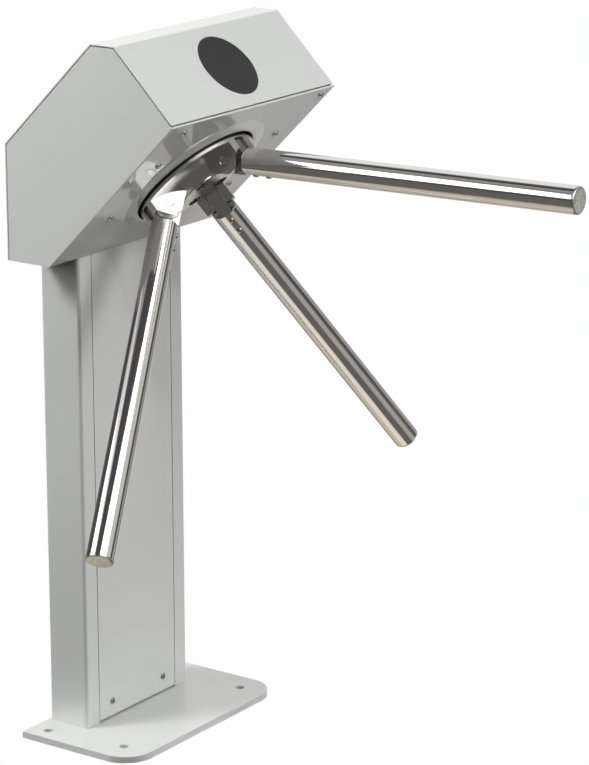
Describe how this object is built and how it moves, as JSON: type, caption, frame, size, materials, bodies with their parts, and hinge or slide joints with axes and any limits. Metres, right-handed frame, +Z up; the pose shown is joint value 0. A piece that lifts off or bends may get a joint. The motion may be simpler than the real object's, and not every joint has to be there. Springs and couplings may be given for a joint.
{
  "type": "tripod turnstile",
  "caption": "Waist-high tripod turnstile: angular steel head on a slim column and base plate, with a slanted rotor carrying folding tubular arms and a round indicator window.",
  "frame": {"origin": "middle of the underside of the base plate, on the floor", "axes": "+X out of the front into the passage, along the arm that lies level, +Y along the width of the head, +Z up"},
  "size_m": [0.7894, 0.8074, 1.03],
  "materials": {
    "base_paint": "satin off-white powder coat",
    "casing_paint": "satin light grey powder coat",
    "zinc": "zinc plated",
    "dark_steel": "machined",
    "window_black": "gloss",
    "board_green": "matt",
    "white_plastic": "matt",
    "cast_grey": "machined cast iron",
    "bearing_steel": "ground",
    "hub_steel": "turned and polished",
    "arm_steel": "polished stainless",
    "black_plastic": "matt",
    "solenoid_yellow": "matt",
    "cable_black": "matt",
    "brass": "plain"
  },
  "bodies": {
    "frame": {"base_plate": "base_paint", "column_shell": "casing_paint", "column_front_panel": "casing_paint", "column_panel_screws": "zinc", "column_top_flange": "dark_steel", "head_fixing_bolts": "zinc", "head_body": "casing_paint", "head_cover": "casing_paint", "slope_screws": "zinc", "indicator_window": "window_black", "indicator_board": "board_green", "indicator_board_spacers": "white_plastic", "mechanism_plate": "dark_steel", "plate_standoffs": "zinc", "bearing_housing": "cast_grey", "housing_bolts": "zinc", "bearing_outer_rings": "bearing_steel", "bearing_balls": "bearing_steel", "lock_plate": "dark_steel", "lock_plate_screws": "zinc", "rotary_damper": "black_plastic", "position_sensors": "black_plastic", "pawl_pivots": "zinc", "solenoid_a": "solenoid_yellow", "solenoid_b": "solenoid_yellow", "control_board": "board_green", "board_spacers": "zinc", "terminal_block": "board_green", "internal_cable": "cable_black", "cable_clips": "white_plastic", "earth_stud": "brass"},
    "rotor": {"rotor_hub": "hub_steel", "rotor_skirt": "black_plastic", "rotor_screws": "dark_steel", "arm_pins": "bearing_steel", "main_shaft": "dark_steel", "shaft_sleeves": "dark_steel", "shaft_nut": "dark_steel", "bearing_inner_rings": "bearing_steel", "lock_wheel": "bearing_steel", "damper_gear": "black_plastic", "encoder_disc": "black_plastic"},
    "arm_1": {"arm_1_root": "hub_steel", "arm_1_tube": "arm_steel", "arm_1_cap": "arm_steel", "arm_1_screws": "zinc"},
    "arm_2": {"arm_2_root": "hub_steel", "arm_2_tube": "arm_steel", "arm_2_cap": "arm_steel", "arm_2_screws": "zinc"},
    "arm_3": {"arm_3_root": "hub_steel", "arm_3_tube": "arm_steel", "arm_3_cap": "arm_steel", "arm_3_screws": "zinc"},
    "pawl_a_body": {"pawl_a": "bearing_steel"},
    "plunger_a_body": {"plunger_a": "bearing_steel"},
    "pawl_b_body": {"pawl_b": "bearing_steel"},
    "plunger_b_body": {"plunger_b": "bearing_steel"},
    "damper_rotor": {"damper_pinion": "white_plastic"}
  },
  "joints": [
    {"name": "rotor_spin", "type": "hinge", "parent": "frame", "child": "rotor", "pos_m": [0.0865, 0, 0.8235], "axis": [0.7071, 0, -0.7071], "continuous": true},
    {"name": "arm_1_fold", "type": "hinge", "parent": "rotor", "child": "arm_1", "pos_m": [0.15008, 0.00343, 0.85243], "axis": [-0.037, 0.9986, -0.037], "range_deg": [0, 90]},
    {"name": "arm_2_fold", "type": "hinge", "parent": "rotor", "child": "arm_2", "pos_m": [0.0786, 0.05493, 0.78095], "axis": [-0.593, -0.5446, -0.593], "range_deg": [0, 45]},
    {"name": "arm_3_fold", "type": "hinge", "parent": "rotor", "child": "arm_3", "pos_m": [0.0828, -0.05836, 0.78515], "axis": [0.63, -0.454, 0.63], "range_deg": [0, 45]},
    {"name": "pawl_a_swing", "type": "hinge", "parent": "frame", "child": "pawl_a_body", "pos_m": [0.06529, 0.05, 0.93522], "axis": [-0.7071, 0, 0.7071], "range_deg": [0, 9.5]},
    {"name": "plunger_a_slide", "type": "slide", "parent": "frame", "child": "plunger_a_body", "axis": [-0.7071, 0, -0.7071], "range_m": [0, 0.005]},
    {"name": "pawl_b_swing", "type": "hinge", "parent": "frame", "child": "pawl_b_body", "pos_m": [0.06529, -0.05, 0.93522], "axis": [0.7071, 0, -0.7071], "range_deg": [0, 9.5]},
    {"name": "plunger_b_slide", "type": "slide", "parent": "frame", "child": "plunger_b_body", "axis": [-0.7071, 0, -0.7071], "range_m": [0, 0.005]},
    {"name": "damper_spin", "type": "hinge", "parent": "frame", "child": "damper_rotor", "pos_m": [-0.03251, 0, 0.85723], "axis": [0.7071, 0, -0.7071], "continuous": true}
  ],
  "couplings": [
    {"joint": "plunger_a_slide", "follows": "pawl_a_swing", "m_per_rad": 0.03},
    {"joint": "plunger_b_slide", "follows": "pawl_b_swing", "m_per_rad": 0.03},
    {"joint": "damper_spin", "follows": "rotor_spin", "ratio": -3}
  ]
}
